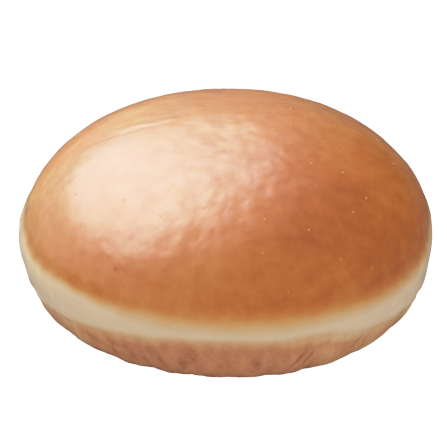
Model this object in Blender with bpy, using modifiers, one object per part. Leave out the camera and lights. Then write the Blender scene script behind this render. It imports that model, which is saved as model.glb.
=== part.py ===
"""A round glazed doughnut of the filled kind: one solid piece of fried yeast dough, with no hole.

A turned profile gives the dome, the waist and the foot. Its vertices are then moved by a few rules: the
plan is as uneven as proofed dough is, the pale waist swells where the dough rose last, the crust of the
foot is puckered, and the underside is flat where the doughnut rests.

Metres, +Z up, the front towards -Y, the origin at the middle of the underside. An azimuth is 0 at the
front and grows towards +X. A level is a height above the waist, and is negative below it.
"""

import math

import bpy

MM = 0.001

# Driving dimensions
HALF_WIDTH = 43.1 * MM  # at the waist, before it swells
DEPTH_SHARE = 0.975  # front to back against side to side
DOME_RISE = 24.8 * MM  # waist to crown
FOOT_DROP = 22.3 * MM  # waist to where the foot would close if nothing pressed it flat
WAIST_HEIGHT = 20.8 * MM  # waist to the table
DOME_POWER = 2.31  # 2 is an ellipse, more is squarer
FOOT_POWER = 3.26
POWER_BLEND = 0.35  # sine of the latitude over which the foot's curve turns into the dome's

# Flat underside
REST_SOFTNESS = 1.2 * MM  # half the height over which the foot turns into the flat

# Unevenness of the plan, as shares of the radius
OVAL_SKEW = 0.009
THREE_SIDED_FRONT = -0.001
THREE_SIDED_SIDE = 0.004
FOOT_LEAN = 0.013
FOOT_SKEW = -0.029
FOOT_CORNERS = 0.011
FOOT_OVAL = -0.021
FOOT_FADE = 14.4 * MM  # the foot's own unevenness fades out over this height to each side of the waist

# Swelling of the waist
SWELL = 1.33 * MM
SWELL_EXTRA_LEFT = 0.49 * MM
SWELL_SPREAD = 6.4 * MM

# Puckers in the crust of the foot
PUCKERS = 25
PUCKER_DEPTH = 0.6 * MM  # crest to valley
PUCKER_WANDER = 0.9  # radians that the even spacing is shifted by
PUCKER_WANDER_WAVES = 4
PUCKER_CLUSTERS = 7
PUCKER_CLUSTER_AT = math.radians(-26.0)
PUCKER_LEAST = 0.3  # share of the depth left between the clusters
PUCKER_TOP = (-11.0 * MM, -5.0 * MM)  # full depth at the lower level, none above the upper one
PUCKER_FOOT = (-20.6 * MM, -16.5 * MM)  # none below the lower level, full depth above the upper one

# Mesh
STEPS = 144
DOME_RINGS = 18
SIDE_RINGS = 16
SIDE_END = math.radians(-54.0)  # latitude just inside the flat
FLAT_RINGS = 2
WAIST_CROWDING = 1.3  # rings crowd towards the waist, where the side turns fastest


def ramp(low, high, value):
    """0 up to low and 1 from high on, with a smooth rise between them."""
    share = min(max((value - low) / (high - low), 0.0), 1.0)
    return share * share * (3.0 - 2.0 * share)


def profile_point(latitude):
    """Radius and level of the even, unflattened shape at a latitude: two superellipses blended at the waist."""
    cosine = math.cos(latitude)
    sine = math.sin(latitude)
    dome_share = ramp(-POWER_BLEND, POWER_BLEND, sine)
    rise = FOOT_DROP + (DOME_RISE - FOOT_DROP) * dome_share
    power = FOOT_POWER + (DOME_POWER - FOOT_POWER) * dome_share
    reach = ((cosine / HALF_WIDTH) ** power + (abs(sine) / rise) ** power) ** (-1.0 / power)
    return reach * cosine, reach * sine


def latitudes():
    """Latitudes of the rings from the crown to the middle of the underside, both poles included."""
    crown = math.pi / 2.0
    dome = [crown * (1.0 - ring / DOME_RINGS) ** WAIST_CROWDING for ring in range(DOME_RINGS)]
    side = [SIDE_END * (ring / SIDE_RINGS) ** WAIST_CROWDING for ring in range(SIDE_RINGS)]
    flat = [SIDE_END - (crown + SIDE_END) * ring / FLAT_RINGS for ring in range(FLAT_RINGS + 1)]
    return dome + side + flat


def plan_share(azimuth, level):
    """Factor on the radius: the slight skew of the whole, and the foot's own unevenness below the waist."""
    whole = (
        OVAL_SKEW * math.sin(2 * azimuth)
        + THREE_SIDED_FRONT * math.cos(3 * azimuth)
        + THREE_SIDED_SIDE * math.sin(3 * azimuth)
    )
    foot = (
        FOOT_LEAN * math.sin(azimuth)
        + FOOT_SKEW * math.sin(2 * azimuth)
        + FOOT_CORNERS * math.sin(3 * azimuth)
        + FOOT_OVAL * math.cos(2 * azimuth)
    )
    return 1.0 + whole + foot * (1.0 - ramp(-FOOT_FADE, FOOT_FADE, level))


def swelling(azimuth, level):
    """How far the waist stands out, most on the left."""
    height = SWELL - SWELL_EXTRA_LEFT * math.sin(azimuth)
    return height * math.exp(-((level / SWELL_SPREAD) ** 2))


def pucker(azimuth, level):
    """Depth of the puckers in the foot's crust, in clusters round it: crests rise as valleys sink."""
    phase = PUCKERS * azimuth + PUCKER_WANDER * math.sin(PUCKER_WANDER_WAVES * azimuth)
    valley = 2.0 / math.pi - abs(math.sin(phase / 2.0))
    cluster = 0.5 + 0.5 * math.cos(PUCKER_CLUSTERS * (azimuth - PUCKER_CLUSTER_AT))
    window = (1.0 - ramp(*PUCKER_TOP, level)) * ramp(*PUCKER_FOOT, level)
    return PUCKER_DEPTH * valley * window * (PUCKER_LEAST + (1.0 - PUCKER_LEAST) * cluster)


def above_table(level):
    """Height above the table: the foot turns smoothly into the flat, which stays at zero."""
    height = level + WAIST_HEIGHT
    if height >= REST_SOFTNESS:
        return height
    if height <= -REST_SOFTNESS:
        return 0.0
    return (height + REST_SOFTNESS) ** 2 / (4.0 * REST_SOFTNESS)


def shaped(point):
    """Where a point of the even turned shape goes on the real, uneven doughnut."""
    radius = math.hypot(point.x, point.y)
    level = point.z
    azimuth = math.atan2(point.x, -point.y)
    inward = pucker(azimuth, level) / math.hypot(radius, level)
    uneven_radius = radius * (plan_share(azimuth, level) - inward) + swelling(azimuth, level)
    x = uneven_radius * math.sin(azimuth)
    y = -uneven_radius * math.cos(azimuth) * DEPTH_SHARE
    return x, y, above_table(level * (1.0 - inward))


def turned_mesh():
    """The even shape: the profile at +X, from the crown down its outer side, turned about Z."""
    profile = bpy.data.meshes.new("doughnut_profile")
    points = [profile_point(latitude) for latitude in latitudes()]
    vertices = [(radius, 0.0, level) for radius, level in points]
    vertices[0] = (0.0, 0.0, DOME_RISE)
    vertices[-1] = (0.0, 0.0, -FOOT_DROP)
    profile.from_pydata(vertices, [(i, i + 1) for i in range(len(vertices) - 1)], [])
    holder = bpy.data.objects.new("doughnut_profile", profile)
    bpy.context.scene.collection.objects.link(holder)
    turn = holder.modifiers.new("turn", "SCREW")
    turn.axis = "Z"
    turn.angle = 2.0 * math.pi
    turn.steps = STEPS
    turn.render_steps = STEPS
    turn.use_merge_vertices = True
    turn.merge_threshold = 0.0001
    evaluated = holder.evaluated_get(bpy.context.evaluated_depsgraph_get())
    mesh = bpy.data.meshes.new_from_object(evaluated)
    bpy.data.objects.remove(holder)
    return mesh


def centred(mesh):
    """Moves the mesh so that its box is centred on the origin in plan."""
    for axis in (0, 1):
        places = [vertex.co[axis] for vertex in mesh.vertices]
        middle = (min(places) + max(places)) / 2.0
        for vertex in mesh.vertices:
            vertex.co[axis] -= middle


def crust_material():
    """Brown fried crust under a thin clear sugar glaze."""
    material = bpy.data.materials.new("glazed_crust")
    material.use_nodes = True
    shader = material.node_tree.nodes["Principled BSDF"]
    shader.inputs["Base Color"].default_value = (0.50, 0.17, 0.05, 1.0)
    shader.inputs["Roughness"].default_value = 0.3
    shader.inputs["Metallic"].default_value = 0.0
    return material


def make_doughnut(collection):
    mesh = turned_mesh()
    for vertex in mesh.vertices:
        vertex.co = shaped(vertex.co)
    centred(mesh)
    mesh.name = "doughnut"
    mesh.shade_smooth()
    mesh.materials.clear()
    mesh.materials.append(crust_material())
    doughnut = bpy.data.objects.new("doughnut", mesh)
    collection.objects.link(doughnut)
    return doughnut


def main():
    for item in list(bpy.data.objects):
        bpy.data.objects.remove(item)
    collection = bpy.data.collections.new("glazed_doughnut")
    bpy.context.scene.collection.children.link(collection)
    make_doughnut(collection)


main()
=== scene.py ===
import math

import bpy
from mathutils import Matrix, Quaternion, Vector


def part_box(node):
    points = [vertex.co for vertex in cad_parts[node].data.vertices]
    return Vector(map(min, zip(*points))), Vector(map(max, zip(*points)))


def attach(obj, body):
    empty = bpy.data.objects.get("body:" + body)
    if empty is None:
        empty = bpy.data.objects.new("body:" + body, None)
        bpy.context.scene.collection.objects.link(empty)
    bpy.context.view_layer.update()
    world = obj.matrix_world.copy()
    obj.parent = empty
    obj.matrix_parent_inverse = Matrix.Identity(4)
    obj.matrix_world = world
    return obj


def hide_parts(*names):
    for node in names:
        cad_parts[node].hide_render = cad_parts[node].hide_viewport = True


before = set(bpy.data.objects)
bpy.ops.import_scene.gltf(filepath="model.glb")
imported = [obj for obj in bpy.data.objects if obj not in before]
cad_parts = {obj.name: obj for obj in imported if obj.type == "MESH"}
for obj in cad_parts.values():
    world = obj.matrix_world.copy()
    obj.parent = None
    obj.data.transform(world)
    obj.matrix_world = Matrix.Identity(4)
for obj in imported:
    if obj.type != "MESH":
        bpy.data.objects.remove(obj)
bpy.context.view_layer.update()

# ----------------------------------------------------------------------------------------------------
# The doughnut's form: one round of yeast dough with no hole, proofed and fried. It stands for the whole
# solid and has the same rule: a domed top, a waist that swelled last, a puckered foot, a flat underside.
# The finer relief of the crust lies on it: soft lumps, dimples, creases by the crown, crinkles below.
# ----------------------------------------------------------------------------------------------------

MM = 0.001
CELLS_ACROSS = 140  # cells along the level edges of the block that is blown up to the doughnut
CELLS_UP = 100  # and along its upright edges
BLOCK_HEIGHT = 0.62  # of its width, so that the cells come out even on the flattened shape

FORM_SIZES = {
    "Half width": 43.1 * MM,
    "Depth share": 0.975,
    "Dome rise": 24.8 * MM,
    "Foot drop": 22.3 * MM,
    "Waist height": 20.8 * MM,
    "Dome power": 2.31,
    "Foot power": 3.26,
    "Rest softness": 1.2 * MM,
    "Swell": 1.33 * MM,
    "Swell extra left": 0.49 * MM,
    "Swell spread": 6.4 * MM,
    "Pucker depth": 0.6 * MM,
    "Lump height": 0.2 * MM,
    "Hollow depth": 0.25 * MM,
    "Dent depth": 0.26 * MM,
    "Dimple depth": 0.09 * MM,
    "Fold depth": 0.06 * MM,
    "Crinkle depth": 0.42 * MM,
    "Crust set-in": 0.16 * MM,
}
WAIST = FORM_SIZES["Waist height"]
POWER_BLEND = 0.35  # sine of the latitude over which the foot's curve turns into the dome's

# Unevenness of the plan, as shares of the radius.
OVAL_SKEW = 0.009
THREE_SIDED_FRONT = -0.001
THREE_SIDED_SIDE = 0.004
FOOT_LEAN = 0.013
FOOT_SKEW = -0.029
FOOT_CORNERS = 0.011
FOOT_OVAL = -0.021
FOOT_FADE = 14.4 * MM  # the foot's own unevenness fades out over this height to each side of the waist

# Puckers in the crust of the foot. A level is a height above the waist, and is negative below it.
PUCKERS = 25
PUCKER_WANDER = 0.9  # radians that the even spacing is shifted by
PUCKER_WANDER_WAVES = 4.0
PUCKER_CLUSTERS = 7.0
PUCKER_CLUSTER_AT = math.radians(-26.0)
PUCKER_LEAST = 0.3  # share of the depth left between the clusters
PUCKER_TOP = (-5.0 * MM, -11.0 * MM)  # none above the first level, full depth below the second
PUCKER_FOOT = (-20.6 * MM, -16.5 * MM)  # none below the first level, full depth above the second


class Term:
    """One output in a node tree. Arithmetic on it adds nodes, so that a rule reads as a formula."""

    def __init__(self, socket):
        self.socket = socket
        self.tree = socket.id_data

    def math(self, operation, *others):
        return grow(self.tree, "ShaderNodeMath", (self, *others), operation=operation)

    def vector(self, operation, *others):
        return grow(self.tree, "ShaderNodeVectorMath", (self, *others), operation=operation)

    def __add__(self, other):
        return self.math("ADD", other)

    def __radd__(self, other):
        return self.math("ADD", other)

    def __sub__(self, other):
        return self.math("SUBTRACT", other)

    def __rsub__(self, other):
        return (-self).math("ADD", other)

    def __mul__(self, other):
        return self.math("MULTIPLY", other)

    def __rmul__(self, other):
        return self.math("MULTIPLY", other)

    def __truediv__(self, other):
        return self.math("DIVIDE", other)

    def __pow__(self, other):
        return self.math("POWER", other)

    def __neg__(self):
        return self * -1.0

    def sin(self):
        return self.math("SINE")

    def cos(self):
        return self.math("COSINE")

    def parts(self):
        node = self.tree.nodes.new("ShaderNodeSeparateXYZ")
        self.tree.links.new(self.socket, node.inputs[0])
        return [Term(output) for output in node.outputs]


def grow(tree, kind, inputs=(), output=0, **settings):
    """Adds one node with its settings and inputs, linked or plain, and gives one of its outputs."""
    node = tree.nodes.new(kind)
    for name, value in settings.items():
        setattr(node, name, value)
    pairs = inputs.items() if isinstance(inputs, dict) else enumerate(inputs)
    for key, value in pairs:
        if isinstance(value, Term):
            tree.links.new(value.socket, node.inputs[key])
        else:
            node.inputs[key].default_value = value
    return Term(node.outputs[output])


def ramp(value, low, high):
    """0 at low and 1 at high, smooth between and flat beyond; low may be the greater."""
    limits = {"Value": value, "From Min": low, "From Max": high}
    return grow(value.tree, "ShaderNodeMapRange", limits, interpolation_type="SMOOTHSTEP")


def hump(value, middle, spread):
    """1 at the middle, fading to nothing on both sides."""
    off = (value - middle) / spread
    return grow(value.tree, "ShaderNodeMath", (math.e, -(off * off)), operation="POWER")


def noise(point, size, detail):
    """Smooth noise about zero, from -0.5 to 0.5, in blobs about one size across."""
    inputs = {"Vector": point, "Scale": 1.0 / size, "Detail": detail}
    return grow(point.tree, "ShaderNodeTexNoise", inputs) - 0.5


def azimuth_of(x, y):
    """Angle round the upright axis: 0 at the front, and greater to the right."""
    return x.math("ARCTAN2", -y)


def plan_share(azimuth, level):
    """Factor on the radius: the slight skew of the whole and the foot's own unevenness."""
    whole = OVAL_SKEW * (2.0 * azimuth).sin()
    whole = whole + THREE_SIDED_FRONT * (3.0 * azimuth).cos() + THREE_SIDED_SIDE * (3.0 * azimuth).sin()
    foot = FOOT_LEAN * azimuth.sin() + FOOT_SKEW * (2.0 * azimuth).sin()
    foot = foot + FOOT_CORNERS * (3.0 * azimuth).sin() + FOOT_OVAL * (2.0 * azimuth).cos()
    return 1.0 + whole + foot * ramp(level, FOOT_FADE, -FOOT_FADE)


def puckers(azimuth, level):
    """Share of the pucker depth: valleys in clusters round the foot, with crests between them."""
    phase = PUCKERS * azimuth + PUCKER_WANDER * (PUCKER_WANDER_WAVES * azimuth).sin()
    valley = 2.0 / math.pi - (phase / 2.0).sin().math("ABSOLUTE")
    cluster = 0.5 + 0.5 * (PUCKER_CLUSTERS * (azimuth - PUCKER_CLUSTER_AT)).cos()
    window = ramp(level, *PUCKER_TOP) * ramp(level, *PUCKER_FOOT)
    return valley * window * (PUCKER_LEAST + (1.0 - PUCKER_LEAST) * cluster)


# The pale band's edges, as heights above the table. A positive lean puts an edge higher on the right, and a
# positive oval puts it higher at the front and the back than at the sides.
BAND_TOP = WAIST + 0.27 * MM
BAND_TOP_LEAN = -0.92 * MM
BAND_TOP_OVAL = -0.57 * MM
BAND_CLIMB = 3.7 * MM  # how much higher the dome's edge is at the sides
BAND_CLIMB_LEAN = 0.9 * MM
BAND_CLIMB_FROM = (math.radians(62.0), math.radians(98.0))  # azimuths between which it climbs
BAND_CLIMB_BEHIND = (math.radians(105.0), math.radians(165.0))  # and between which it sinks again
BAND_CLIMB_LOST = 0.5  # share of the climb that is lost there
BAND_FOOT = WAIST - 7.34 * MM
BAND_FOOT_LEAN = -0.39 * MM
BAND_FOOT_OVAL = 2.41 * MM
BAND_FRONT_RISE = 0.6 * MM  # the foot's brown reaches higher at the middle of the front
BAND_FRONT = (math.radians(-1.0), math.radians(18.0))  # its azimuth and its reach
BAND_RIGHT_RISE = 1.4 * MM  # and on the front right
BAND_RIGHT = (math.radians(28.0), math.radians(9.0))


def band_top(azimuth):
    """Height of the dome's brown edge above the table, before it wavers: it climbs at both sides."""
    off_front = azimuth.math("ABSOLUTE")
    climb = ramp(off_front, *BAND_CLIMB_FROM) * (1.0 - BAND_CLIMB_LOST * ramp(off_front, *BAND_CLIMB_BEHIND))
    even = BAND_TOP + BAND_TOP_LEAN * azimuth.sin() + BAND_TOP_OVAL * (2.0 * azimuth).cos()
    return even + climb * (BAND_CLIMB + BAND_CLIMB_LEAN * azimuth.sin())


def band_foot(azimuth):
    """Height of the foot's brown edge above the table: it lies much lower at the sides than at the front."""
    even = BAND_FOOT + BAND_FOOT_LEAN * azimuth.sin() + BAND_FOOT_OVAL * (2.0 * azimuth).cos()
    return even + BAND_FRONT_RISE * hump(azimuth, *BAND_FRONT) + BAND_RIGHT_RISE * hump(azimuth, *BAND_RIGHT)


FOOT_RADIUS = 40.0 * MM  # about how far the foot's crust is from the axis, to turn an azimuth into a length
UPRIGHT_STRETCH = 0.45  # share of a height that a pattern counts, so that wrinkles stand upright


def upright_place(azimuth, z):
    """A place on the side as lengths round it and up it, for patterns that are drawn out upwards."""
    return grow(z.tree, "ShaderNodeCombineXYZ", (azimuth * FOOT_RADIUS, z * UPRIGHT_STRETCH, 0.0))


def fold(across, along, start, end, width):
    """1 along the line from start to end, in two lengths over the surface, fading at its sides and ends."""
    run = Vector(end) - Vector(start)
    right = across - start[0]
    up = along - start[1]
    share = (right * run.x + up * run.y) / run.length_squared
    aside = (right * run.y - up * run.x) / run.length
    return hump(aside, 0.0, width) * ramp(share, -0.1, 0.3) * ramp(share, 1.1, 0.7)


def folded(rows, across, along):
    """Sum of folds, of which each row gives the depth, the width and both ends."""
    total = 0.0
    for depth, width, start, end in rows:
        total = total + depth * fold(across, along, start, end, width)
    return total


def crease_shade_mask(rows, across, along):
    """The same sum of the sunken folds alone, which marks where shade is painted into the creases."""
    return folded([(-depth, *line) for depth, *line in rows if depth < 0.0], across, along)


def patched(rows, x, y, start=0.0):
    """A value with broad patches added, of which each row gives the strength, the reach and the place."""
    total = start
    for strength, reach, right, behind in rows:
        total = total + strength * hump(x, right, reach) * hump(y, behind, reach)
    return total


def in_mm(*lengths):
    return tuple(length * MM for length in lengths)


# Broad hollows where the dome flattens: depth in parts of the hollow depth, reach, place from the middle.
HOLLOWS = (
    (1.5, *in_mm(6.5, 0.5, -6.0)),  # the crown's front
    (2.0, *in_mm(9.0, -9.5, -6.5)),  # the crown's left
    (1.0, *in_mm(5.0, -28.5, -16.5)),  # the left shoulder
    (1.2, *in_mm(7.5, -5.0, -34.5)),  # the front, above the band
    (0.5, *in_mm(4.5, 2.0, -21.0)),  # halfway down the front
    (1.0, *in_mm(9.0, 24.0, -8.0)),  # the right shoulder
)

# Folds and welts that the photograph shows: depth in parts of the fold depth, negative where it sinks,
# width, and both ends. On the dome the ends are to the right of the middle and behind it.
DOME_FOLDS = (
    (-0.9, 0.4 * MM, in_mm(-29.0, 0.6), in_mm(-15.0, 2.4)),
    (-0.7, 0.4 * MM, in_mm(-16.0, 6.0), in_mm(-9.0, 5.4)),
    (0.7, 0.8 * MM, in_mm(-26.0, 3.6), in_mm(-10.0, 4.2)),
    (-0.4, 0.4 * MM, in_mm(-13.0, 1.6), in_mm(-5.0, 1.6)),
    (0.4, 0.7 * MM, in_mm(-5.2, -27.6), in_mm(-2.2, -22.0)),
    (0.4, 0.9 * MM, in_mm(3.6, -29.0), in_mm(6.0, -22.0)),
    (0.2, 0.5 * MM, in_mm(-8.0, -36.6), in_mm(-2.4, -31.2)),
    (-0.4, 0.4 * MM, in_mm(1.0, -35.9), in_mm(14.5, -32.7)),
    (-0.4, 0.35 * MM, in_mm(5.0, -35.6), in_mm(19.0, -32.0)),
)

# On the foot the ends are a length round it to the right and a height above the table.
FOOT_FOLDS = (
    (-3.4, 0.45 * MM, in_mm(-30.0, 10.2), in_mm(-21.0, 7.2)),
    (-1.2, 1.2 * MM, in_mm(-26.0, 12.4), in_mm(-21.0, 10.2)),
    (2.0, 0.8 * MM, in_mm(-20.0, 12.4), in_mm(-17.6, 7.6)),
    (-3.0, 0.4 * MM, in_mm(-18.8, 8.8), in_mm(-17.2, 7.4)),
    (-2.0, 0.9 * MM, in_mm(-14.4, 10.8), in_mm(-13.0, 6.6)),
    (-1.6, 0.9 * MM, in_mm(-9.6, 10.4), in_mm(-9.0, 6.4)),
    (-1.8, 0.6 * MM, in_mm(-1.6, 10.0), in_mm(0.0, 6.2)),
    (-2.0, 0.6 * MM, in_mm(6.4, 10.2), in_mm(5.4, 6.4)),
    (-4.0, 0.5 * MM, in_mm(13.0, 5.6), in_mm(17.0, 12.6)),
    (-3.4, 0.5 * MM, in_mm(16.4, 6.8), in_mm(19.0, 12.0)),
    (-1.4, 0.6 * MM, in_mm(-33.0, 12.0), in_mm(-28.0, 8.0)),
    (-2.6, 0.5 * MM, in_mm(27.0, 8.0), in_mm(31.0, 12.6)),
)

DOME_FROM = in_mm(24.0, 28.0)  # heights between which the dome's own relief comes in
FOOT_FROM = in_mm(13.5, 10.0)  # and the foot's, downwards
REST_FROM = in_mm(0.1, 3.0)  # there is none on the underside, which rests on the table
CAP_RIGHT, CAP_BEHIND = in_mm(-22.0, -9.0)  # the middle of the smoothest glaze, from the doughnut's middle
CAP_WIDTH, CAP_DEPTH = in_mm(12.0, 13.0)
CAP_CALM = 0.85  # share of the small dents that is missing there
LUMP_SIZE = 24.0 * MM  # how far a lump is across, and in the next lines the finer relief
DENT_SIZE = 4.5 * MM
DIMPLE_SIZE = 1.7 * MM
CRINKLE_SIZE = 2.4 * MM
FOLD_WANDER = 1.2 * MM  # how much a fold wanders off its line
FOLD_WANDER_SIZE = 6.0 * MM  # and over about what length
FOOT_STEP = 0.9 * MM  # height over which the foot's crust steps back from the pale band
FOOT_STEP_FROM = in_mm(3.0, 9.0)  # the step fades out below, between these heights
DOME_STEP_AT, DOME_STEP_SPREAD = in_mm(1.2, 1.4)  # the groove above the dome's edge
SET_IN = 0.05 * MM  # keeps the relief inside the solid's box


def on_dome(z):
    """1 on the dome and 0 from the waist down."""
    return ramp(z, *DOME_FROM)


def smooth_cap(x, y, z):
    """1 where the glaze lies smoothest, high on the left, fading to nothing over the rest."""
    return hump(x, CAP_RIGHT, CAP_WIDTH) * hump(y, CAP_BEHIND, CAP_DEPTH) * on_dome(z)


def open_tree(name, sizes, others):
    """A new Geometry Nodes tree, and its named inputs: the others, each by its kind, and then the sizes."""
    tree = bpy.data.node_groups.new(name, "GeometryNodeTree")
    tree.interface.new_socket("Geometry", in_out="OUTPUT", socket_type="NodeSocketGeometry")
    for label, kind in others.items():
        tree.interface.new_socket(label, in_out="INPUT", socket_type=kind)
    for label, value in sizes.items():
        socket = tree.interface.new_socket(label, in_out="INPUT", socket_type="NodeSocketFloat")
        socket.default_value = value
    entry = tree.nodes.new("NodeGroupInput")
    return tree, {output.name: Term(output) for output in entry.outputs if output.name}


def close_tree(geometry, material):
    """Ends a tree in smooth, real geometry with its material."""
    tree = geometry.tree
    smooth = grow(tree, "GeometryNodeSetShadeSmooth", {"Geometry": geometry})
    real = grow(tree, "GeometryNodeRealizeInstances", {"Geometry": smooth})
    coated = grow(tree, "GeometryNodeSetMaterial", {"Geometry": real, "Material": material})
    leave = tree.nodes.new("NodeGroupOutput")
    tree.links.new(coated.socket, leave.inputs[0])


def profile_reach(sine, cosine, size):
    """How far the even shape is from the waist's centre at a latitude: two superellipses, blended."""
    dome_share = ramp(sine, -POWER_BLEND, POWER_BLEND)
    rise = size["Foot drop"] + (size["Dome rise"] - size["Foot drop"]) * dome_share
    power = size["Foot power"] + (size["Dome power"] - size["Foot power"]) * dome_share
    sides = (cosine / size["Half width"]) ** power + (sine.math("ABSOLUTE") / rise) ** power
    return sides ** (-1.0 * (power ** -1.0))


def above_table(height, softness):
    """The height, with the foot turned softly into the flat where it would go through the table."""
    landing = grow(height.tree, "ShaderNodeClamp", ((height + softness) / (2.0 * softness), 0.0, 1.0))
    return softness * landing * landing + (height - softness).math("MAXIMUM", 0.0)


def blown_up(tree, size):
    """A block of even cells, blown up to the doughnut's form."""
    cells = {"Vertices X": CELLS_ACROSS + 1, "Vertices Y": CELLS_ACROSS + 1, "Vertices Z": CELLS_UP + 1}
    block = grow(tree, "GeometryNodeMeshCube", {"Size": (2.0, 2.0, 2.0), **cells})
    corner = grow(tree, "GeometryNodeInputPosition")
    even = corner.vector("MULTIPLY", (math.pi / 4.0,) * 3).vector("TANGENT")
    low = even.vector("MULTIPLY", (1.0, 1.0, BLOCK_HEIGHT))
    x, y, sine = low.vector("NORMALIZE").parts()
    cosine = (x * x + y * y).math("SQRT")
    azimuth = azimuth_of(x, y)

    reach = profile_reach(sine, cosine, size)
    level = reach * sine
    inward = puckers(azimuth, level) * size["Pucker depth"] / reach
    swell = size["Swell"] - size["Swell extra left"] * azimuth.sin()
    swell = swell * hump(level, 0.0, size["Swell spread"])
    radius = reach * cosine * (plan_share(azimuth, level) - inward) + swell
    back = -(azimuth.cos()) * radius * size["Depth share"]
    height = above_table(level * (1.0 - inward) + size["Waist height"], size["Rest softness"])
    place = grow(tree, "ShaderNodeCombineXYZ", (azimuth.sin() * radius, back, height))
    return grow(tree, "GeometryNodeSetPosition", {"Geometry": block, "Position": place})


def crust_relief(tree, size):
    """How far the crust stands out from the form at each place."""
    point = grow(tree, "GeometryNodeInputPosition")
    x, y, z = point.parts()
    azimuth = azimuth_of(x, y)
    on_foot = ramp(z, *FOOT_FROM)
    uneven = 1.0 - CAP_CALM * smooth_cap(x, y, z)
    relief = size["Lump height"] * noise(point, LUMP_SIZE, 1.0)
    relief = relief - size["Hollow depth"] * patched(HOLLOWS, x, y) * on_dome(z)
    relief = relief + size["Dent depth"] * noise(point, DENT_SIZE, 1.0) * uneven
    relief = relief + size["Dimple depth"] * noise(point, DIMPLE_SIZE, 1.0) * uneven

    wander = FOLD_WANDER * noise(point, FOLD_WANDER_SIZE, 1.0)
    folds = folded(DOME_FOLDS, x, y + wander) * on_dome(z)
    folds = folds + folded(FOOT_FOLDS, azimuth * FOOT_RADIUS, z + wander) * on_foot
    crinkles = size["Crinkle depth"] * noise(upright_place(azimuth, z), CRINKLE_SIZE, 2.0) * on_foot
    foot_edge = ramp(z - band_foot(azimuth), 0.0, -FOOT_STEP) * ramp(z, *FOOT_STEP_FROM)
    dome_edge = hump(z - band_top(azimuth), DOME_STEP_AT, DOME_STEP_SPREAD)
    relief = relief + size["Fold depth"] * folds + crinkles
    relief = relief - size["Crust set-in"] * (foot_edge + dome_edge)
    return (relief - SET_IN) * ramp(z, *REST_FROM)


def form_tree():
    """The whole doughnut as one Geometry Nodes tree, with its sizes as named inputs."""
    tree, size = open_tree("Doughnut form", FORM_SIZES, {"Crust": "NodeSocketMaterial"})
    outward = grow(tree, "GeometryNodeInputNormal")
    step = {0: outward, "Scale": crust_relief(tree, size)}
    offset = grow(tree, "ShaderNodeVectorMath", step, operation="SCALE")
    crusted = grow(tree, "GeometryNodeSetPosition", {"Geometry": blown_up(tree, size), "Offset": offset})
    close_tree(crusted, size["Crust"])
    return tree


def grown(name, tree, values, start=None):
    """The plain mesh that a tree makes with these inputs, as an object at the origin."""
    holder = bpy.data.objects.new(name + "_holder", start or bpy.data.meshes.new(name + "_start"))
    bpy.context.scene.collection.objects.link(holder)
    modifier = holder.modifiers.new("form", "NODES")
    modifier.node_group = tree
    for item in tree.interface.items_tree:
        if item.in_out == "INPUT" and item.name in values:
            modifier[item.identifier] = values[item.name]
    evaluated = holder.evaluated_get(bpy.context.evaluated_depsgraph_get())
    mesh = bpy.data.meshes.new_from_object(evaluated)
    bpy.data.objects.remove(holder)
    mesh.name = name
    made = bpy.data.objects.new(name, mesh)
    bpy.context.scene.collection.objects.link(made)
    return made


# ----------------------------------------------------------------------------------------------------
# The crust and its glaze: fried dough, brown above and below and pale round the waist, under a thin
# clear sugar glaze that dried to a soft gloss. The colour follows the height above the table, and some
# shade, sheen and glints are painted into it.
# ----------------------------------------------------------------------------------------------------


def shade(red, green, blue):
    """A colour picked as 0 to 255 in sRGB, as the linear values that a shader takes."""
    def linear(value):
        share = value / 255.0
        return share / 12.92 if share <= 0.04045 else ((share + 0.055) / 1.055) ** 2.4
    return (linear(red), linear(green), linear(blue), 1.0)


# Colours of the crust by how brown it is, from 0, pale, to 1, the darkest.
DOME_COLOURS = (
    (0.00, shade(213, 188, 154)),
    (0.14, shade(208, 175, 133)),
    (0.36, shade(203, 154, 94)),
    (0.56, shade(197, 126, 60)),
    (0.77, shade(188, 104, 40)),
    (1.00, shade(165, 80, 27)),
)
FOOT_COLOURS = (
    (0.00, shade(211, 185, 150)),
    (0.22, shade(206, 167, 122)),
    (0.42, shade(203, 151, 104)),
    (0.62, shade(194, 131, 88)),
    (0.80, shade(182, 116, 78)),
    (1.00, shade(150, 86, 54)),
)

# Where the dome browned more, or less if the first number is negative, save on the right flank, where the
# paler patch is painted sheen: browning added, reach, and place from the middle.
PATCHES = (
    (-0.12, *in_mm(12.0, -42.0, -6.0)),  # the left flank, more golden
    (0.10, *in_mm(12.0, 22.0, -27.0)),  # the front right, the brownest
    (-0.10, *in_mm(8.0, 37.0, 10.0)),  # the right flank, from its edge to the back, paler as painted sheen
    (0.14, *in_mm(8.0, -32.0, 5.0)),  # the honey-brown shoulder at the back left
    (-0.12, *in_mm(4.0, 25.0, -36.0)),  # where the pale band reaches up on the right
    (0.08, *in_mm(6.0, -25.0, -32.0)),  # and where the brown reaches down on the left
)

# Small spots on the dome's crust: the pale ones are painted glints of the glaze, and the dark one is where it
# has a pit: browning added there, size, and place from the middle of the underside.
PAINTED_GLINTS_AND_PIT = (
    (-0.22, 0.40 * MM, in_mm(23.7, -33.2, 31.2)),
    (-0.26, 0.45 * MM, in_mm(30.3, -30.4, 27.7)),
    (0.35, 0.35 * MM, in_mm(-22.8, -33.5, 29.2)),
)

# Where the glaze lies thinner, or thicker if the first number is negative: coat taken off, reach, and
# place from the middle.
GLAZE_PATCHES = (
    (-0.20, *in_mm(6.0, -1.0, -7.0)),  # the lobe of the sheen in front of the crown
    (0.25, *in_mm(5.0, 8.0, -5.0)),  # right of that lobe, where the sheen stops
    (0.20, *in_mm(5.0, -14.0, 0.0)),  # by the creases behind the sheen
    (0.20, *in_mm(4.0, 3.0, -26.0)),  # the sheen's lower right
    (0.20, *in_mm(4.0, -9.0, -31.0)),  # and its lower edge
)

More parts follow.
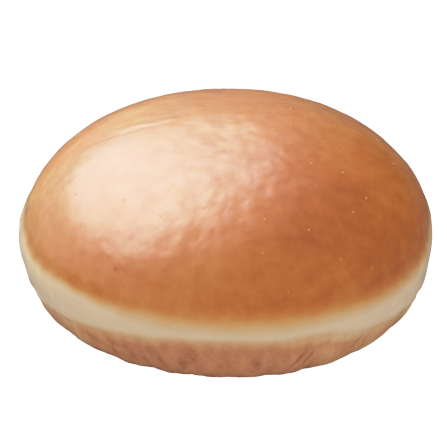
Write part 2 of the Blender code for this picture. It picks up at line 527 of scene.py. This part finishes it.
# Mottling: how strong, how far its blobs are across, and how much finer detail they have.
EDGE_WAVER = (
    (1.0 * MM, 9.0 * MM, 2.0),
    (0.5 * MM, 2.5 * MM, 2.0),
)
DOME_MOTTLING = (
    (0.16, 14.0 * MM, 1.0),
    (0.32, 3.4 * MM, 2.0),
    (0.13, 1.1 * MM, 2.0),
)
FOOT_EDGE_WAVER = (1.6 * MM, 4.0 * MM, 2.0)
FOOT_WRINKLES = (0.72, 3.0 * MM, 3.0)
FOOT_MOTTLING = (0.31, 0.9 * MM, 2.0)
GLAZE_BLOTCHES = (1.3, 3.6 * MM, 3.0)
SKIN_GRAIN = (1.0, 0.7 * MM, 3.0)

DOME_BROWN = 0.74  # how brown the dome is on the whole
DOME_BROWNER_RIGHT = 0.12  # browning added at its right edge and missing at its left one
DOME_BACK_PAINTED_SHEEN = 0.14  # browning missing at its back, as painted sheen where the glaze is seen edge-on
DOME_BEHIND = in_mm(-22.0, 12.0)
DOME_CREASE_SHADE = 0.12  # painted shade in the creases: browning added where a crease is as deep as the fold depth
DOME_EDGE = in_mm(-3.4, 4.4)  # heights past the dome's edge between which it turns from pale to brown
DOME_EDGE_SHARPER = 1.6  # how much more sharply it does so at the left
DOME_EDGE_LEFT = in_mm(-16.0, -34.0)
FOOT_BROWN = 0.74
# Painted shade in the foot's creases, as browning added.
FOOT_CREASE_SHADE = 0.05
FOOT_EDGE = in_mm(-2.3, 3.1)  # the same past the foot's edge, downwards
FOOT_PALER = (  # at both sides: browning missing, azimuth and reach
    (0.32, math.radians(55.0), math.radians(27.0)),
    (0.24, math.radians(-56.0), math.radians(17.0)),
)
LEDGE_PALER = 0.30  # browning missing on a ledge below the band, on the front right
LEDGE = (math.radians(31.0), math.radians(11.0))  # its azimuth and its reach
LEDGE_DROP = in_mm(3.6, 1.4)  # it ends between these heights below the foot's edge

# Lightness of the pale band: lighter at both sides, partly as paler dough and partly as painted light, darker
# at the front as painted shade, and lighter at the far left as painted light. Its places are cosines of the
# azimuth: 1 at the front, 0 at both sides.
BAND_SIDES_LIGHTER = 0.20
BAND_SIDES_FRONT = (0.75, 0.25)
BAND_SIDES_BACK = (-0.6, 0.0)
BAND_FRONT_PAINTED_SHADE = 0.04
BAND_FRONT_FROM = (0.75, 0.95)
BAND_LEFT_PAINTED_LIGHT = 0.10
BAND_LEFT_FROM = (-0.90, -0.98)  # this one is a sine: -1 at the far left
BROWN_ENOUGH = 0.5  # browning of the dome from which none of this counts
RIM_PAINTED_SHEEN = 0.44  # painted rim sheen: a lighter line that runs over the left shoulder to the back
SHOULDER_SLOPE = 0.55  # how far it runs back for each length to the right
SHOULDER_AT, SHOULDER_SPREAD = in_mm(23.5, 6.5)
SHOULDER_HEIGHTS = in_mm(24.0, 34.0)
SHOULDER_FROM = in_mm(-3.0, -23.0)

GLAZE_COVER = 0.92  # weight of the glaze's coat where it is neither thin nor thick
GLAZE_THINNER_RIGHT = 0.12
GLAZE_RIGHT_FROM = in_mm(-20.0, 2.0)

CRUST_FINISH = {
    "Roughness": 0.5,
    "Specular IOR Level": 0.25,
    "Subsurface Weight": 0.15,
    "Subsurface Radius": (2.0 * MM, 1.0 * MM, 0.5 * MM),
    "Subsurface Scale": 1.0,
    "Coat Roughness": 0.22,
    "Coat IOR": 1.46,
}
GRAIN_DEPTH = 0.05 * MM
GRAIN_STRENGTH = 0.5


def browned(browning, stops):
    """Colour of the crust at a browning from 0, pale, to 1, the darkest."""
    node = browning.tree.nodes.new("ShaderNodeValToRGB")
    browning.tree.links.new(browning.socket, node.inputs["Fac"])
    elements = node.color_ramp.elements
    elements[0].position, elements[0].color = stops[0]
    elements[1].position, elements[1].color = stops[-1]
    for position, colour in stops[1:-1]:
        elements.new(position).color = colour
    return Term(node.outputs["Color"])


def finished(name, finish):
    """A new material and its shader, with the finish set on the shader's own sockets."""
    material = bpy.data.materials.new(name)
    material.use_nodes = True
    shader = material.node_tree.nodes["Principled BSDF"]
    for socket, value in finish.items():
        shader.inputs[socket].default_value = value
    return material, shader


def feed(term, node, socket):
    """Links a term to one input of a node that is there already."""
    term.tree.links.new(term.socket, node.inputs[socket])


def mottled(point, *rows):
    """Sum of noises, of which each row gives the strength, the size of the blobs and the finer detail."""
    total = 0.0
    for strength, size, detail in rows:
        total = total + strength * noise(point, size, detail)
    return total


def dome_browning(point, waver):
    """How brown the dome is: mottled, browner on the right, paler behind as painted sheen, with painted shade
    in its creases and painted glints, and fading out at the band.
    """
    x, y, z = point.parts()
    sharper_left = 1.0 + DOME_EDGE_SHARPER * ramp(x, *DOME_EDGE_LEFT)
    over_edge = (z - band_top(azimuth_of(x, y)) + waver) * sharper_left
    uneven = patched(PATCHES, x, y, mottled(point, *DOME_MOTTLING))
    # The pale spots are painted glints.
    for browner, reach, place in PAINTED_GLINTS_AND_PIT:
        off = grow(point.tree, "ShaderNodeVectorMath", (point, place), output=1, operation="DISTANCE")
        uneven = uneven + browner * hump(off, 0.0, reach)
    # Painted shade in the creases.
    uneven = uneven + DOME_CREASE_SHADE * crease_shade_mask(DOME_FOLDS, x, y)
    even = DOME_BROWN + DOME_BROWNER_RIGHT * (x / FORM_SIZES["Half width"])
    # Paler behind: painted sheen.
    even = even - DOME_BACK_PAINTED_SHEEN * ramp(y, *DOME_BEHIND)
    return ramp(over_edge, *DOME_EDGE) * (even + uneven)


def foot_browning(point, waver):
    """How brown the foot is: wrinkled, darker in its creases as painted shade, and paler at both sides and on
    one ledge.
    """
    x, y, z = point.parts()
    azimuth = azimuth_of(x, y)
    upright = upright_place(azimuth, z)
    under_edge = band_foot(azimuth) - z + waver + mottled(upright, FOOT_EDGE_WAVER)
    wrinkled = mottled(upright, FOOT_WRINKLES) + mottled(point, FOOT_MOTTLING)
    for paler, middle, reach in FOOT_PALER:
        wrinkled = wrinkled - paler * hump(azimuth, middle, reach)
    wrinkled = wrinkled - LEDGE_PALER * (hump(azimuth, *LEDGE) * ramp(under_edge, *LEDGE_DROP))
    # Painted shade in the creases.
    creases = FOOT_CREASE_SHADE * crease_shade_mask(FOOT_FOLDS, azimuth * FOOT_RADIUS, z)
    return ramp(under_edge, *FOOT_EDGE) * (FOOT_BROWN + wrinkled + creases)


def dough_and_painted_light(point, dome_brown):
    """Factor on the colour, partly painted light: the pale band is lighter at both sides, partly as paler
    dough, darker at the front as painted shade and lighter at the far left as painted light, and a line on
    the left shoulder is lighter as painted sheen.
    """
    x, y, z = point.parts()
    azimuth = azimuth_of(x, y)
    forward = azimuth.cos()
    # Lighter at the sides: partly paler dough, partly painted light.
    band = 1.0 + BAND_SIDES_LIGHTER * ramp(forward, *BAND_SIDES_FRONT) * ramp(forward, *BAND_SIDES_BACK)
    # Painted shade at the front.
    band = band - BAND_FRONT_PAINTED_SHADE * ramp(forward, *BAND_FRONT_FROM)
    # Painted light at the far left.
    band = band + BAND_LEFT_PAINTED_LIGHT * ramp(azimuth.sin(), *BAND_LEFT_FROM)
    band = 1.0 + (band - 1.0) * ramp(dome_brown, BROWN_ENOUGH, 0.0)
    # Painted rim sheen along the left shoulder.
    painted_rim_sheen = hump(y - SHOULDER_SLOPE * x, SHOULDER_AT, SHOULDER_SPREAD) * ramp(z, *SHOULDER_HEIGHTS)
    return band + RIM_PAINTED_SHEEN * painted_rim_sheen * ramp(x, *SHOULDER_FROM)


def crust_colour(point):
    """The browned dome above and the tan foot below, with the pale band between them."""
    x, y, z = point.parts()
    waver = mottled(point, *EDGE_WAVER)
    dome_brown = dome_browning(point, waver)
    dome = browned(dome_brown, DOME_COLOURS)
    foot = browned(foot_browning(point, waver), FOOT_COLOURS)
    on_foot = ramp(z - band_foot(azimuth_of(x, y)), 2.0 * MM, 0.0)
    both = grow(point.tree, "ShaderNodeMix", {0: on_foot, 6: dome, 7: foot}, output=2, data_type="RGBA")
    # Painted light and shade, multiplied into the colour.
    light = dough_and_painted_light(point, dome_brown)
    return both.vector("MULTIPLY", grow(point.tree, "ShaderNodeCombineXYZ", (light, light, light)))


def glaze_cover(point):
    """How much glaze lies on the crust, from 0 to 1: in blotches, but even on the smooth cap."""
    x, y, z = point.parts()
    blotches = mottled(point, GLAZE_BLOTCHES) * (1.0 - smooth_cap(x, y, z))
    thin = patched(GLAZE_PATCHES, x, y, GLAZE_THINNER_RIGHT * ramp(x, *GLAZE_RIGHT_FROM) - blotches)
    return grow(point.tree, "ShaderNodeClamp", (GLAZE_COVER - thin, 0.0, 1.0))


def crust_material():
    material, shader = finished("glazed_crust", CRUST_FINISH)
    point = grow(material.node_tree, "ShaderNodeTexCoord", output="Object")
    grain = {"Strength": GRAIN_STRENGTH, "Distance": GRAIN_DEPTH, "Height": mottled(point, SKIN_GRAIN)}
    feed(grow(material.node_tree, "ShaderNodeBump", grain), shader, "Normal")
    feed(crust_colour(point), shader, "Base Color")
    feed(glaze_cover(point), shader, "Coat Weight")
    return material


doughnut = grown("doughnut_crust", form_tree(), {**FORM_SIZES, "Crust": crust_material()})
box_low, box_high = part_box("doughnut")
settle = Vector((0.0, 0.0, 0.0))
for axis in (0, 1):
    places = [vertex.co[axis] for vertex in doughnut.data.vertices]
    settle[axis] = (box_low[axis] + box_high[axis]) / 2.0 - (min(places) + max(places)) / 2.0
doughnut.data.transform(Matrix.Translation(settle))
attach(doughnut, "root")
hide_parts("doughnut")

# ----------------------------------------------------------------------------------------------------
# Beads of glaze: drops of the clear sugar glaze, a few tenths of a millimetre across, that dried where
# they ran together on the dome. They are scattered over the finished crust, flattened and half sunk.
# ----------------------------------------------------------------------------------------------------

BEAD_SIZES = {
    "Least distance": 5.5 * MM,
    "Most per square metre": 9000.0,
    "Least radius": 0.14 * MM,
    "Greatest radius": 0.32 * MM,
    "Flatness": 0.30,
}
BEADS_FROM = 27.0 * MM  # the height above which there are beads
SCATTER_SEED = 7
RADIUS_SEED = 3
BEAD_COLOURS = (
    (0.0, shade(214, 150, 96)),
    (1.0, shade(196, 116, 60)),
)
BEAD_MOTTLING = (1.0, 3.0 * MM, 1.0)
BEAD_FINISH = {"Roughness": 0.42}


def bead_tree():
    """Flattened beads on the dome of the mesh that comes in, with their spacing and sizes as named inputs."""
    others = {"Crust mesh": "NodeSocketGeometry", "Glaze": "NodeSocketMaterial"}
    tree, size = open_tree("Glaze beads", BEAD_SIZES, others)
    x, y, z = grow(tree, "GeometryNodeInputPosition").parts()
    off_cap = (1.0 - smooth_cap(x, y, z)).math("GREATER_THAN", 0.5)
    scatter = {
        "Mesh": size["Crust mesh"],
        "Selection": z.math("GREATER_THAN", BEADS_FROM) * off_cap,
        "Distance Min": size["Least distance"],
        "Density Max": size["Most per square metre"],
        "Seed": SCATTER_SEED,
    }
    points = grow(tree, "GeometryNodeDistributePointsOnFaces", scatter, distribute_method="POISSON")
    turned = Term(points.socket.node.outputs["Rotation"])
    bead = grow(tree, "GeometryNodeMeshUVSphere", {"Segments": 12, "Rings": 8, "Radius": 1.0})
    limits = {2: size["Least radius"], 3: size["Greatest radius"], "Seed": RADIUS_SEED}
    radius = grow(tree, "FunctionNodeRandomValue", limits, output=1)
    scale = grow(tree, "ShaderNodeCombineXYZ", (radius, radius, radius * size["Flatness"]))
    on_crust = {"Points": points, "Instance": bead, "Rotation": turned, "Scale": scale}
    close_tree(grow(tree, "GeometryNodeInstanceOnPoints", on_crust), size["Glaze"])
    return tree


def bead_material():
    material, shader = finished("glaze_bead", BEAD_FINISH)
    point = grow(material.node_tree, "ShaderNodeTexCoord", output="Object")
    depth = 0.5 + mottled(point, BEAD_MOTTLING)
    feed(browned(depth, BEAD_COLOURS), shader, "Base Color")
    return material


beads = grown("glaze_beads", bead_tree(), {**BEAD_SIZES, "Glaze": bead_material()}, doughnut.data.copy())
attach(beads, "root")

# ----------------------------------------------------------------------------------------------------
# The studio: a plain pale floor, one large softbox with a soft edge above and behind on the left, a weak
# fill, a pale surround, and the camera at the photograph's angle. None of it is part of the doughnut.
# ----------------------------------------------------------------------------------------------------

FLOOR_SIDE = 4.0
FLOOR_SEEN = 1.8  # brightness of the floor to the camera
FLOOR_CAST = 0.88  # and of the light that it casts up on the doughnut
FLOOR_FINISH = {
    "Base Color": (0.10, 0.10, 0.10, 1.0),
    "Roughness": 0.9,
    "Specular IOR Level": 0.0,
    "Emission Color": (1.0, 1.0, 1.0, 1.0),
}
waist_centre = Vector((settle.x, settle.y, WAIST))

bpy.ops.mesh.primitive_plane_add(size=FLOOR_SIDE)
floor = bpy.context.object
floor.name = "floor"
paper, paper_shader = finished("floor_paper", FLOOR_FINISH)
floor_ray = paper.node_tree.nodes.new("ShaderNodeLightPath")
seen = FLOOR_SEEN * Term(floor_ray.outputs["Is Camera Ray"])
feed(seen + FLOOR_CAST * Term(floor_ray.outputs["Is Diffuse Ray"]), paper_shader, "Emission Strength")
floor.data.materials.append(paper)


def lamp(name, place, facing, width, height, radiance, turn=0.0):
    """An oval softbox, placed from the waist's centre, square to a direction that leads away from there."""
    light = bpy.data.lights.new(name, "AREA")
    light.shape = "ELLIPSE"
    light.size = width
    light.size_y = height
    light.energy = radiance * math.pi * math.pi / 4.0 * width * height
    made = bpy.data.objects.new(name, light)
    made.location = waist_centre + Vector(place)
    square = (-Vector(facing)).to_track_quat("-Z", "Y")
    made.rotation_euler = (square @ Quaternion((0.0, 0.0, 1.0), turn)).to_euler()
    made.visible_camera = False
    bpy.context.scene.collection.objects.link(made)
    return made


def distance_on(front, middle, width, height):
    """Distance on a softbox's front from a place in shares, with its sides counted this wide and high."""
    across, up, _ = front.parts()
    aside = (across - middle[0]) * width
    above = (up - middle[1]) * height
    return (aside * aside + above * above).math("SQRT")


SOFTBOX_PLACE = (-0.50, 0.31, 0.81)
SOFTBOX_FACING = (-0.48, 0.38, 0.79)
SOFTBOX_WIDTH = 2.55
SOFTBOX_HEIGHT = 1.54
SOFTBOX_TURN = math.radians(13.0)
SOFTBOX_RADIANCE = 10.7
BRIGHTEST = (0.585, 0.732)  # its brightest place, in shares across and up its front
BRIGHTNESS_LOST = 0.48  # share of the brightness lost for each metre away from there
SOFT_EDGE = (1.0, 0.52)  # dark at its edge, and full from this share of the way out inwards

mirrored = lamp("softbox", SOFTBOX_PLACE, SOFTBOX_FACING, SOFTBOX_WIDTH, SOFTBOX_HEIGHT,
                SOFTBOX_RADIANCE, SOFTBOX_TURN)
mirrored.visible_diffuse = False
mirrored.data.use_nodes = True
softbox_tree = mirrored.data.node_tree
front = grow(softbox_tree, "ShaderNodeNewGeometry", output="Parametric")
fall_off = 1.0 - BRIGHTNESS_LOST * distance_on(front, BRIGHTEST, SOFTBOX_WIDTH, SOFTBOX_HEIGHT)
soft_edge = ramp(distance_on(front, (0.5, 0.5), 2.0, 2.0), *SOFT_EDGE)
feed(fall_off * soft_edge, softbox_tree.nodes["Emission"], "Strength")

FILL_PLACE = (-0.33, 0.50, 0.80)
FILL_SIDE = 1.5
FILL_RADIANCE = 1.2
matt = lamp("fill", FILL_PLACE, FILL_PLACE, FILL_SIDE, FILL_SIDE, FILL_RADIANCE)
matt.visible_glossy = False

# The surround: the gloss mirrors its left and back alone, the dough is lit by it from all round, and the
# camera sees it white.
SKY = 0.95  # brightness on the whole
SKY_DIMMER_RIGHT = 0.09
SKY_DIMMER_BEHIND = 0.26
SKY_TO_CAMERA = 1.5  # brightness added for the camera alone
GLOSS_FROM_BEHIND = 0.35
GLOSS_FROM_LEFT = 0.9

world = bpy.data.worlds.new("studio")
world.use_nodes = True
surround = world.node_tree.nodes["Background"]
surround.inputs["Color"].default_value = (1.0, 1.0, 1.0, 1.0)
surround_ray = world.node_tree.nodes.new("ShaderNodeLightPath")
glossy = Term(surround_ray.outputs["Is Glossy Ray"])
camera_ray = Term(surround_ray.outputs["Is Camera Ray"])
sideways, backwards, _ = grow(world.node_tree, "ShaderNodeTexCoord", output="Generated").parts()
mirrored_sky = SKY * (GLOSS_FROM_BEHIND * backwards - GLOSS_FROM_LEFT * sideways).math("MAXIMUM", 0.0)
matt_sky = SKY - SKY_DIMMER_RIGHT * sideways - SKY_DIMMER_BEHIND * backwards + SKY_TO_CAMERA * camera_ray
feed(matt_sky * (1.0 - glossy) + mirrored_sky * glossy, surround, "Strength")
bpy.context.scene.world = world

# The picture's tone curve has the soft shoulder of a photograph, so that the sheen doesn't burn out.
WHITE_LEVEL = 1.5
STRAIGHT_END = (0.38, 0.57)
SHOULDER = ((0.5, 0.71), (0.733, 0.865))

view = bpy.context.scene.view_settings
view.view_transform = "Standard"
view.use_curve_mapping = True
view.curve_mapping.white_level = (WHITE_LEVEL, WHITE_LEVEL, WHITE_LEVEL)
tone = view.curve_mapping.curves[3].points
tone[0].location = (0.0, 0.0)
tone[0].handle_type = "VECTOR"
tone.new(*STRAIGHT_END).handle_type = "VECTOR"
for level, shown in SHOULDER:
    tone.new(level, shown)
view.curve_mapping.update()

CAMERA_DISTANCE = 0.686
CAMERA_ELEVATION = math.radians(28.35)
LENS = 254.5  # focal length, in millimetres as the sensor's width is
SENSOR_WIDTH = 36.0
NEAREST = 10.0 * MM
AIM_LEFT = 1.10 * MM  # the photograph's middle lies this far left of the waist's centre
AIM_UP = 0.83 * MM  # and this far above it, in the picture

camera = bpy.data.objects.new("camera", bpy.data.cameras.new("camera"))
bpy.context.scene.collection.objects.link(camera)
to_camera = Vector((0.0, -math.cos(CAMERA_ELEVATION), math.sin(CAMERA_ELEVATION)))
picture_up = Vector((0.0, math.sin(CAMERA_ELEVATION), math.cos(CAMERA_ELEVATION)))
aim = waist_centre + Vector((-AIM_LEFT, 0.0, 0.0)) + picture_up * AIM_UP
camera.location = aim + to_camera * CAMERA_DISTANCE
camera.rotation_euler = (-to_camera).to_track_quat("-Z", "Y").to_euler()
camera.data.lens = LENS
camera.data.sensor_width = SENSOR_WIDTH
camera.data.clip_start = NEAREST
bpy.context.scene.camera = camera
